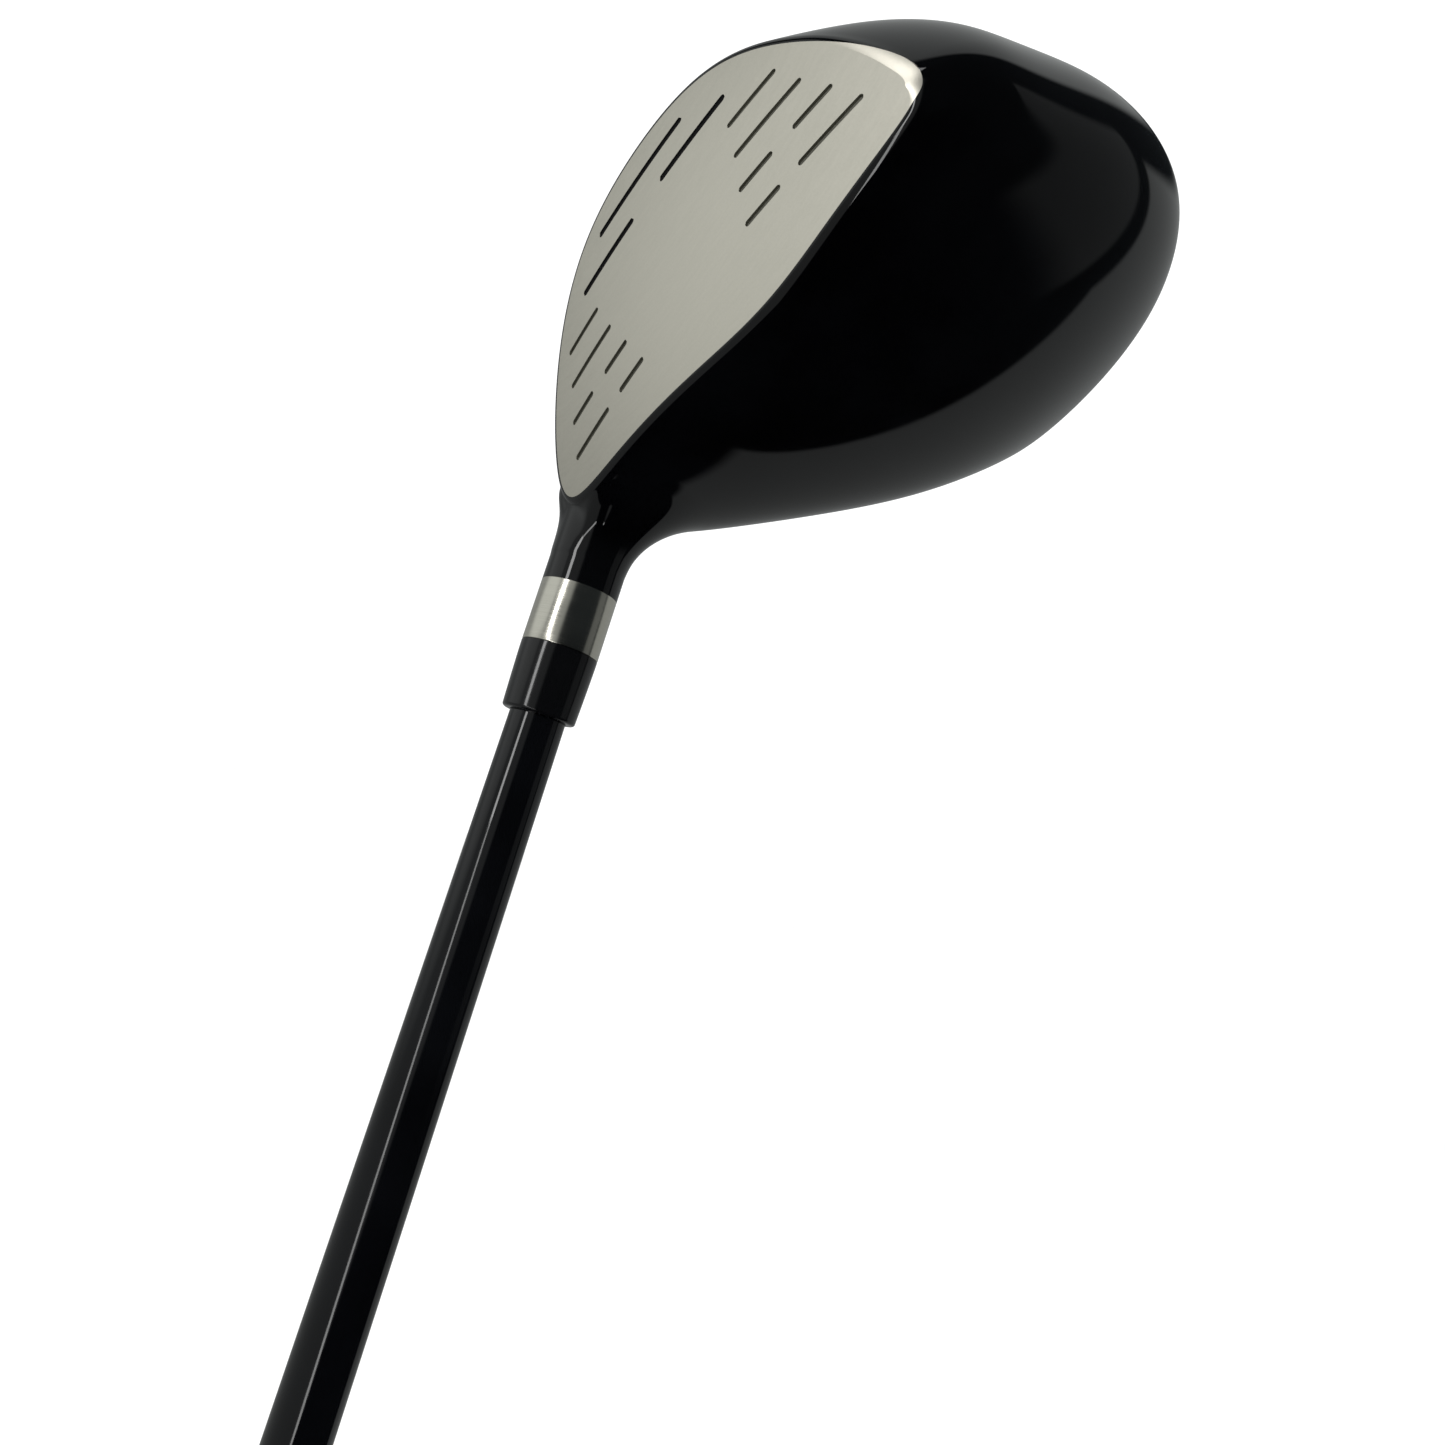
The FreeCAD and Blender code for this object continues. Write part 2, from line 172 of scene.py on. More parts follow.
# ------------------------------------------------------------------ mesh helpers
def within(V):
    """ease the outermost fractions of a millimetre in, so that the skins stay within the solid model's box"""
    V = np.array(V, float)
    st = lambda x: np.clip(x, 0, 1) ** 2 * (3 - 2 * np.clip(x, 0, 1))
    V[:, 0] += 0.00002 * st((-0.0120 - V[:, 0]) / 0.0036)
    V[:, 1] -= 0.00052 * st((V[:, 1] - 0.0670) / 0.0085)
    V[:, 2] -= 0.00004 * st((V[:, 2] - 1.1640) / 0.0080)
    return V
def make(name, V, F, mat, nodes=(), normals=None, mats=None, midx=None, sharp=None):
    V = within(V)
    me = bpy.data.meshes.new(name)
    me.from_pydata([tuple(map(float, v)) for v in V], [], [tuple(int(i) for i in f) for f in F])
    me.validate(clean_customdata=False)
    for m in (mats or [mat]):
        me.materials.append(m)
    if midx is not None:
        me.polygons.foreach_set("material_index", np.asarray(midx, np.int32))
    me.polygons.foreach_set("use_smooth", np.ones(len(me.polygons), bool))
    if normals is not None:
        me.normals_split_custom_set_from_vertices([tuple(map(float, n)) for n in normals])
    elif sharp:
        me.set_sharp_from_angle(angle=math.radians(sharp))
    me.update()
    ob = bpy.data.objects.new(name, me)
    bpy.context.scene.collection.objects.link(ob)
    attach(ob, "root")
    if nodes:
        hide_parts(*nodes)
    return ob

def grid_faces(nr, nc, wrap, off=0, flip=False):
    F = []
    for i in range(nr - 1):
        for j in range(nc if wrap else nc - 1):
            k = (j + 1) % nc
            q = (off + i * nc + j, off + i * nc + k, off + (i + 1) * nc + k, off + (i + 1) * nc + j)
            F.append(q[::-1] if flip else q)
    return F

def thick_grid(P, N, wall, wrap):
    """a closed shell from a grid of points and outward normals: outer skin, inner skin and rims"""
    nr, nc = P.shape[:2]
    V = np.concatenate([P.reshape(-1, 3), (P - N * wall).reshape(-1, 3)])
    NN = np.concatenate([N.reshape(-1, 3), -N.reshape(-1, 3)])
    # orient by the first quad
    e1, e2 = P[nr // 2, 1] - P[nr // 2, 0], P[nr // 2 + 1, 0] - P[nr // 2, 0]
    flip = np.dot(np.cross(e1, e2), N[nr // 2, 0]) < 0
    F = grid_faces(nr, nc, wrap, 0, flip) + grid_faces(nr, nc, wrap, nr * nc, not flip)
    o = nr * nc
    rims = []
    for i, fl in ((0, False), (nr - 1, True)):
        for j in range(nc if wrap else nc - 1):
            k = (j + 1) % nc
            rims.append((i * nc + j, o + i * nc + j, o + i * nc + k, i * nc + k)[:: -1 if (fl ^ flip) else 1])
    if not wrap:
        for j, fl in ((0, True), (nc - 1, False)):
            for i in range(nr - 1):
                rims.append((i * nc + j, o + i * nc + j, o + (i + 1) * nc + j, (i + 1) * nc + j)[:: -1 if (fl ^ flip) else 1])
    return V, F + rims, NN, len(rims)

def lathe(prof, seg):
    """closed solid of revolution about Z from a closed profile of (r, z) in mm; r 0 is allowed"""
    V, idx = [], []
    th = np.linspace(0, 2 * np.pi, seg, endpoint=False)
    for r, z in prof:
        if r < 1e-6:
            idx.append([len(V)] * seg); V.append((0, 0, z / 1000))
        else:
            idx.append(list(range(len(V), len(V) + seg)))
            V += [(r * math.cos(t) / 1000, r * math.sin(t) / 1000, z / 1000) for t in th]
    F = []
    n = len(prof)
    for i in range(n):
        a, b = idx[i], idx[(i + 1) % n]
        for j in range(seg):
            k = (j + 1) % seg
            q = []
            for v in (a[j], a[k], b[k], b[j]):
                if v not in q:
                    q.append(v)
            if len(q) > 2:
                F.append(tuple(q))
    area = sum(prof[i][0] * prof[(i + 1) % n][1] - prof[(i + 1) % n][0] * prof[i][1] for i in range(n))
    if area < 0:
        F = [f[::-1] for f in F]
    return V, F

def Z(t):
    return BUTT_T - t

def arc(cr, cz, r, a0, a1, n):
    return [(cr + r * math.cos(math.radians(a0 + (a1 - a0) * i / n)), cz + r * math.sin(math.radians(a0 + (a1 - a0) * i / n))) for i in range(n + 1)]

# ------------------------------------------------------------------ materials
class Mat:
    def __init__(s, name):
        s.m = bpy.data.materials.new(name)
        s.m.use_nodes = True
        s.t = s.m.node_tree
        s.t.nodes.clear()
        s.out = s.t.nodes.new("ShaderNodeOutputMaterial")
        s.b = s.t.nodes.new("ShaderNodeBsdfPrincipled")
        s.t.links.new(s.b.outputs[0], s.out.inputs[0])
        s.tc = s.t.nodes.new("ShaderNodeTexCoord")
    def set(s, **kw):
        for k, v in kw.items():
            k = k.replace("_", " ")
            i = s.b.inputs[k]
            i.default_value = (*v, 1.0) if k in ("Base Color",) else v
        return s
    def node(s, kind, **kw):
        n = s.t.nodes.new(kind)
        for k, v in kw.items():
            setattr(n, k, v)
        return n
    def mapped(s, scale=(1, 1, 1), rot=(0, 0, 0), loc=(0, 0, 0)):
        mp = s.node("ShaderNodeMapping")
        s.t.links.new(s.tc.outputs["Object"], mp.inputs["Vector"])
        mp.inputs["Scale"].default_value = scale
        mp.inputs["Rotation"].default_value = rot
        mp.inputs["Location"].default_value = loc
        return mp.outputs[0]
    def noise(s, vec, scale, detail=3.0, rough=0.5, dist=0.0):
        n = s.node("ShaderNodeTexNoise")
        s.t.links.new(vec, n.inputs["Vector"])
        n.inputs["Scale"].default_value = scale
        n.inputs["Detail"].default_value = detail
        n.inputs["Roughness"].default_value = rough
        n.inputs["Distortion"].default_value = dist
        return n.outputs["Fac"]
    def ramp(s, fac, lo, hi, a=0.0, b=1.0):
        """fac between lo and hi becomes a to b"""
        n = s.node("ShaderNodeMapRange")
        s.t.links.new(fac, n.inputs["Value"])
        n.inputs["From Min"].default_value = lo
        n.inputs["From Max"].default_value = hi
        n.inputs["To Min"].default_value = a
        n.inputs["To Max"].default_value = b
        return n.outputs[0]
    def mixcol(s, fac, c0, c1):
        n = s.node("ShaderNodeMix", data_type="RGBA")
        s.t.links.new(fac, n.inputs[0])
        n.inputs[6].default_value = (*c0, 1)
        n.inputs[7].default_value = (*c1, 1)
        return n.outputs[2]
    def math(s, op, a, b):
        n = s.node("ShaderNodeMath", operation=op)
        for i, v in enumerate((a, b)):
            if isinstance(v, (int, float)):
                n.inputs[i].default_value = v
            else:
                s.t.links.new(v, n.inputs[i])
        return n.outputs[0]
    def link(s, out, name):
        s.t.links.new(out, s.b.inputs[name])
        return s
    def bump(s, height, dist, strength=1.0, prev=None):
        n = s.node("ShaderNodeBump")
        n.inputs["Distance"].default_value = dist
        n.inputs["Strength"].default_value = strength
        s.t.links.new(height, n.inputs["Height"])
        if prev:
            s.t.links.new(prev, n.inputs["Normal"])
        return n.outputs[0]

def to_euler(R):
    """mapping rotation whose result is R times the point"""
    return Matrix([list(map(float, r)) for r in R]).to_euler("XYZ")

# rotation that takes row coordinates to face axes (x along grooves, y up the face, z out)
FACE_R = np.array([rowdir(XV), rowdir(UV), rowdir(NV)])

def face_material(name, base0, base1, r0, r1):
    m = Mat(name)
    m.set(Metallic=1.0)
    rot = to_euler(FACE_R)
    brush = m.noise(m.mapped((240, 4200, 240), rot), 1.0, 4.0, 0.65)
    grain = m.noise(m.mapped((1, 1, 1), rot), 2600.0, 2.0, 0.5)
    cloud = m.noise(m.mapped((1, 1, 1), rot), 45.0, 3.0, 0.55)
    f = m.math("ADD", m.math("MULTIPLY", brush, 0.45), m.math("ADD", m.math("MULTIPLY", grain, 0.30), m.math("MULTIPLY", cloud, 0.25)))
    m.link(m.mixcol(m.ramp(f, 0.36, 0.64), base0, base1), "Base Color")
    m.link(m.ramp(f, 0.36, 0.64, r0, r1), "Roughness")
    b = m.bump(brush, 0.000006, 0.5)
    m.link(m.bump(grain, 0.00001, 0.5, b), "Normal")
    return m.m
def gloss(name, base0, base1, rough, coat=0.0, peel=0.0000012, scratch=True):
    m = Mat(name)
    m.set(Specular_IOR_Level=0.5, Coat_Weight=coat, Coat_Roughness=0.02)
    v = m.mapped()
    cloud = m.noise(v, 60.0, 3.0, 0.5)
    fine = m.noise(v, 900.0, 2.0, 0.5)
    m.link(m.mixcol(m.ramp(cloud, 0.35, 0.65), base0, base1), "Base Color")
    m.link(m.ramp(m.math("ADD", m.math("MULTIPLY", cloud, 0.6), m.math("MULTIPLY", fine, 0.4)), 0.35, 0.65, rough[0], rough[1]), "Roughness")
    m.link(m.bump(m.noise(v, 420.0, 2.0, 0.4), peel, 0.6), "Normal")
    return m.m
PAINT = gloss("head_lacquer", (0.0004, 0.0004, 0.0006), (0.0009, 0.0010, 0.0013), (0.03, 0.055), 0.0)
FERR = gloss("ferrule_plastic", (0.0012, 0.0013, 0.0016), (0.0022, 0.0023, 0.0027), (0.08, 0.15), 0.0, 0.000003)
SHAFT = gloss("shaft_lacquer", (0.0008, 0.0009, 0.0013), (0.0016, 0.0018, 0.0024), (0.05, 0.09), 0.0, 0.0000015)

def turned(name, base0, base1, r0, r1, freq=5200.0):
    """metal with fine turning lines round the Z axis"""
    m = Mat(name)
    m.set(Metallic=1.0)
    v = m.mapped((30, 30, freq))
    lines = m.noise(v, 1.0, 3.0, 0.6)
    cloud = m.noise(m.mapped((1, 1, 1)), 180.0, 3.0, 0.5)
    f = m.math("ADD", m.math("MULTIPLY", lines, 0.65), m.math("MULTIPLY", cloud, 0.35))
    m.link(m.mixcol(m.ramp(f, 0.36, 0.64), base0, base1), "Base Color")
    m.link(m.ramp(f, 0.36, 0.64, r0, r1), "Roughness")
    m.link(m.bump(lines, 0.000008, 0.5), "Normal")
    return m.m
BAND = turned("hosel_steel", (0.66, 0.64, 0.565), (0.75, 0.725, 0.64), 0.13, 0.22)
CAST = turned("cast_steel", (0.34, 0.335, 0.32), (0.46, 0.45, 0.43), 0.4, 0.6, 200.0)
BRASS = turned("brass", (0.62, 0.46, 0.18), (0.72, 0.55, 0.24), 0.22, 0.36)

def plain(name, c0, c1, r0, r1, scale, bump):
    m = Mat(name)
    v = m.mapped()
    n = m.noise(v, scale, 4.0, 0.6)
    m.link(m.mixcol(m.ramp(n, 0.35, 0.65), c0, c1), "Base Color")
    m.link(m.ramp(n, 0.35, 0.65, r0, r1), "Roughness")
    m.link(m.bump(m.noise(v, scale * 6, 3.0, 0.6), bump, 0.8), "Normal")
    return m.m
FILL = plain("groove_paint", (0.0015, 0.0015, 0.0018), (0.0035, 0.0035, 0.004), 0.6, 0.8, 700.0, 0.00001)
FILL.node_tree.nodes["Principled BSDF"].inputs["Specular IOR Level"].default_value = 0.12
RUBBER = plain("grip_rubber", (0.012, 0.012, 0.0125), (0.024, 0.024, 0.025), 0.55, 0.78, 260.0, 0.00003)
GLUE = plain("hot_melt", (0.50, 0.40, 0.20), (0.62, 0.52, 0.30), 0.25, 0.4, 120.0, 0.00005)
TAPE = plain("crepe_tape", (0.66, 0.60, 0.47), (0.78, 0.73, 0.60), 0.7, 0.9, 300.0, 0.00006)

FACE = face_material("face_metal", (0.736, 0.705, 0.613), (0.793, 0.760, 0.665), 0.36, 0.43)
# bare groove walls and floors: the face's metal in a much darker colour, painted shade in the groove recesses
GROOVE_METAL_SHADED = face_material("groove_metal_painted_shade", (0.30, 0.295, 0.25), (0.38, 0.375, 0.325), 0.50, 0.65)


# ------------------------------------------------------------------ head skin
NA = 512
ANG = 2 * np.pi * np.arange(NA) / NA
SH = shoulder(ANG)
def arc_rows(SHv, fr):
    P, n, o, r, th, E = SHv
    rows, nrm = [], []
    for f in fr:
        t = th * f
        rows.append(P + o * (r * np.sin(t))[..., None] - n * (r * (1 - np.cos(t)))[..., None])
        nrm.append(o * np.sin(t)[..., None] + n * np.cos(t)[..., None])
    return np.array(rows), np.array(nrm)
bet = np.concatenate([np.linspace(0, 10, 21)[1:], np.linspace(11, 80, 70), np.linspace(80.8, 89.2, 15)])
BODY = np.array([body(np.full(NA, b), ANG, SH[5]) for b in bet])
BODYN = np.array([body_n(np.full(NA, b), ANG) for b in bet])
mid = np.stack([XC(bet), -DEPTH * np.sin(np.radians(bet)), ZE(bet)], -1)[:, None, :]
sg = np.sign((BODYN * (BODY - mid)).sum(-1))
BODYN *= np.sign(np.median(sg))

# silver reaches over the shoulder only where the face rolls over
def silver_end(a):
    w = roll(a)
    r = EDGE_R + ROLL_R * w
    return np.arcsin(np.clip(ROLL_IN * w / r, 0, 0.95))
TS = silver_end(ANG) / SH[4]

# painted ring: from the silver's end to the body
fr = np.linspace(0, 1, 10)
ringP, ringN = [], []
for f in fr:
    t = SH[4] * (TS + (1 - TS) * f)
    ringP.append(SH[0] + SH[2] * (SH[3] * np.sin(t))[:, None] - SH[1] * (SH[3] * (1 - np.cos(t)))[:, None])
    ringN.append(SH[2] * np.sin(t)[:, None] + SH[1] * np.cos(t)[:, None])
SKIN = np.concatenate([np.array(ringP), BODY])
SKINN = np.concatenate([np.array(ringN), BODYN])
NRING = len(fr)
beta_of = np.concatenate([np.zeros(NRING), bet])

adeg = np.degrees(ANG)
def span(lo, hi):
    return [j for j in range(NA) if lo <= adeg[j] <= hi]
def rowspan(lo, hi):
    return [i for i in range(len(beta_of)) if lo <= beta_of[i] <= hi and i >= NRING]

C_COLS, C_ROWS = span(14, 146), rowspan(5.0, 64)
S_COLS, S_ROWS = span(206, 330), rowspan(6.0, 60)
crownP, crownN = SKIN[np.ix_(C_ROWS, C_COLS)], SKINN[np.ix_(C_ROWS, C_COLS)]
V, F, NN, _ = thick_grid(crownP, crownN, WALL, False)
make("crown", row(V), F, PAINT, ["crown_shell"], rowdir(NN))
soleP, soleN = SKIN[np.ix_(S_ROWS, S_COLS)], SKINN[np.ix_(S_ROWS, S_COLS)]
V, F, NN, _ = thick_grid(soleP, soleN, WALL, False)
make("sole", row(V), F, PAINT, ["sole_plate"], rowdir(NN))

# skirt: the rest of the skin, with a pole cap at the rear
nr, nc = SKIN.shape[:2]
inC = np.zeros((nr - 1, nc), bool)
inC[np.ix_(C_ROWS[:-1], C_COLS[:-1])] = True
inC[np.ix_(S_ROWS[:-1], S_COLS[:-1])] = True
V = SKIN.reshape(-1, 3); NN = SKINN.reshape(-1, 3)
tail = body(np.array([90.0]), np.array([0.0]))[0]
flip = np.dot(np.cross(SKIN[40, 1] - SKIN[40, 0], SKIN[41, 0] - SKIN[40, 0]), SKINN[40, 0]) < 0
F = []
for i in range(nr - 1):
    for j in range(nc):
        if not inC[i, j]:
            k = (j + 1) % nc
            q = (i * nc + j, i * nc + k, (i + 1) * nc + k, (i + 1) * nc + j)
            F.append(q[::-1] if flip else q)
nv = nr * nc
for j in range(nc):
    q = ((nr - 1) * nc + j, (nr - 1) * nc + (j + 1) % nc, nv)
    F.append(q[::-1] if flip else q)
V = np.concatenate([V, tail[None]]); NN = np.concatenate([NN, [[0, -1.0, 0]]])
# inner skin and rims
inner = V - NN * WALL
edges = {}
for f in F:
    for a, b in zip(f, f[1:] + f[:1]):
        edges[(a, b)] = True
rims = [(b, a, a + len(V), b + len(V)) for (a, b) in edges if (b, a) not in edges]
F2 = [tuple(i + len(V) for i in f[::-1]) for f in F]
make("skirt_and_neck", row(np.concatenate([V, inner])), F + F2 + rims, PAINT,
     ["skirt_and_neck_shell"], rowdir(np.concatenate([NN, -NN])))

# ------------------------------------------------------------------ neck, blended into the heel
KB = 1.75
def skin(b, a):
    """body surface, carried on over the shoulder for b below 0 (b = -KB is the face edge)"""
    P0, n0, o0, r0, th0, E0 = shoulder(a)
    t = th0 * np.clip(1 + b / KB, 0.0, 1.0)
    S = P0 + o0 * (r0 * np.sin(t))[..., None] - n0 * (r0 * (1 - np.cos(t)))[..., None]
    return np.where((b < 0)[..., None], S, body(np.maximum(b, 0), a, E0))
def skin_n(b, a):
    P0, n0, o0, r0, th0, E0 = shoulder(a)
    t = th0 * np.clip(1 + b / KB, 0.0, 1.0)
    S = o0 * np.sin(t)[..., None] + n0 * np.cos(t)[..., None]
    N = body_n(np.maximum(b, 0), a)
    N *= np.sign((N * (body(np.maximum(b, 0), a, E0) - np.array([4.0, -30.0, -4.0]))).sum(-1))[..., None]
    return np.where((b < 0)[..., None], S, N)
def newton(target, dirs, b, a):
    """points of the skin on the lines target + u * AXS, for arrays"""
    for _ in range(40):
        P = skin(b, a)
        d = P - target
        d = d - (d @ AXS)[:, None] * AXS
        e = 1e-4
        Jb = (skin(b + e, a) - P) / e
        Ja = (skin(b, a + e) - P) / e
        pb, pa = Jb - (Jb @ AXS)[:, None] * AXS, Ja - (Ja @ AXS)[:, None] * AXS
        u1, u2 = FR1, FR2
        m = np.stack([np.stack([pb @ u1, pa @ u1], -1), np.stack([pb @ u2, pa @ u2], -1)], -2)
        r = np.stack([d @ u1, d @ u2], -1)
        s = np.linalg.solve(m, r[..., None])[..., 0]
        s = np.clip(s, [-2, -0.08], [2, 0.08])
        b = np.clip(b - s[:, 0] * 0.8, -KB * 0.98, 60)
        a = a - s[:, 1] * 0.8
    return b, a, skin(b, a)
# axis frame: FR1 points to the toe and crown side, FR2 to the rear
FR1 = rowdir(XV); FR1 = XV - AXS[0] * AXS; FR1 /= np.linalg.norm(FR1)
FR2 = np.cross(AXS, FR1); FR2 *= -np.sign(FR2[1])
NF = 160
phi = 2 * np.pi * np.arange(NF) / NF
# reach of the blend round the axis: toe side, rear, heel, front
REACH = Spline([0, 25, 45, 90, 135, 180, 215, 240, 262, 285, 305, 325, 342, 360], [18.6, 19.6, 19.5, 15.5, 11.8, 10.6, 10.1, 9.2, 7.75, 7.5, 8.6, 12.4, 16.2, 18.6])
def neck_ring():
    D = np.cos(phi)[:, None] * FR1 + np.sin(phi)[:, None] * FR2
    rho = REACH(np.degrees(phi))
    T = AX0 + D * rho[:, None]
    # starting guess from the skin grid, nearest in the axis view and on the neck's side
    cbs = np.concatenate([-KB * np.linspace(0.95, 0.05, 8), bet[:60]])
    cand = np.concatenate([skin(np.full(NA, b), ANG) for b in cbs])
    cb = np.repeat(cbs, NA); ca = np.tile(ANG, len(cbs))
    cn = np.concatenate([skin_n(np.full(NA, b), ANG) for b in cbs])
    ok = (cn @ AXS) > 0.02
    cand, cb, ca = cand[ok], cb[ok], ca[ok]
    q = np.stack([(cand - AX0) @ FR1, (cand - AX0) @ FR2], -1)
    b0, a0 = [], []
    for t in T:
        u = np.array([(t - AX0) @ FR1, (t - AX0) @ FR2])
        i = ((q - u) ** 2).sum(1).argmin()
        b0.append(cb[i]); a0.append(ca[i])
    b, a, P = newton(T, D, np.array(b0), np.array(a0))
    return D, rho, b, a, P
D, rho, nb, na, NP = neck_ring()
NB = skin_n(nb, na)
err = np.linalg.norm((NP - AX0) - ((NP - AX0) @ AXS)[:, None] * AXS - D * rho[:, None], axis=1)
TOP = 27.0
top = AX0 + AXS * TOP + D * BAND_R
tdir = np.tile(-AXS, (NF, 1))
# leaving direction on the body: outwards along the surface
ob_ = D - (D * NB).sum(-1)[:, None] * NB
ob_ = unit(ob_)
L = np.linalg.norm(NP - top, axis=1)[:, None]
rows = [AX0 + AXS * BAND_T0 + D * BAND_R, AX0 + AXS * 29.5 + D * BAND_R]
rown = [D, D]
us = np.linspace(0, 1, 40)
K0, K1 = 1.05, 1.15
pd = np.degrees(phi)
fw = smooth(150, 200, pd) * (1 - smooth(318, 345, pd))
M1 = (L[:, 0] * K1 * (1 - fw) + np.minimum(L[:, 0] * K1, 2.3 * np.maximum(rho - BAND_R, 0.2) + 0.8) * fw)[:, None]
for u in us:
    h0, h1, h2, h3 = 2*u**3-3*u**2+1, u**3-2*u**2+u, -2*u**3+3*u**2, u**3-u**2
    rows.append(h0 * top + h1 * L * K0 * tdir + h2 * NP + h3 * M1 * ob_)
R_ = np.array(rows)
# never narrower than the band above it
ax_ = ((R_ - AX0) @ AXS)[..., None] * AXS
rad = R_ - AX0 - ax_
rl = np.linalg.norm(rad, axis=-1, keepdims=True)
grow = 0.5 * (rl + BAND_R + np.sqrt((rl - BAND_R) ** 2 + 0.2 ** 2)) / rl
keep_ = np.concatenate([np.zeros(2), smooth(0.0, 0.12, us) * (1 - smooth(0.86, 0.98, us))])[:, None, None]
heel = smooth(178, 205, pd) * (1 - smooth(236, 268, pd))
prof = np.concatenate([np.zeros(2), np.exp(-((us - 0.75) / 0.21) ** 2) * (1 - smooth(0.92, 1.0, us))])[:, None, None]
R_ = AX0 + ax_ + rad * (1 + (grow - 1) * keep_) + 0.85 * prof * heel[None, :, None] * D[None]
# normals from the grid
gu = np.gradient(R_, axis=0)
gv = (np.roll(R_, -1, axis=1) - np.roll(R_, 1, axis=1))
GN = unit(np.cross(gu, gv))
GN *= np.sign((GN[5] * D).sum())
GN[0:3] = D
GN[-1] = NB
V, F, NN, _ = thick_grid(R_, GN, 0.9, True)
make("neck", row(V), F, PAINT, ["skirt_and_neck_shell"], rowdir(NN))

# ------------------------------------------------------------------ face plate
def loop_pts(x0, x1, v, off):
    """stadium loop round a groove, grown by off: upper side, right arc, lower side, left arc"""
    r = GROOVE_W / 2 + off
    xa, xb = x0 + GROOVE_W / 2, x1 - GROOVE_W / 2
    m = max(6, int((xb - xa) / 0.5)); p = 9
    up = [(xa + (xb - xa) * i / m, v + r) for i in range(m + 1)]
    ra = [(xb + r * math.sin(math.pi * k / (p + 1)), v + r * math.cos(math.pi * k / (p + 1))) for k in range(1, p + 1)]
    dn = [(xb - (xb - xa) * i / m, v - r) for i in range(m + 1)]
    la = [(xa - r * math.sin(math.pi * k / (p + 1)), v - r * math.cos(math.pi * k / (p + 1))) for k in range(1, p + 1)]
    return up + ra + dn + la, m, p
SEGS = [(-12.0, 12.0, 0)]
for r_, a_, b_ in GROOVES:
    SEGS += [(a_, b_, r_), (-b_, -a_, r_)]

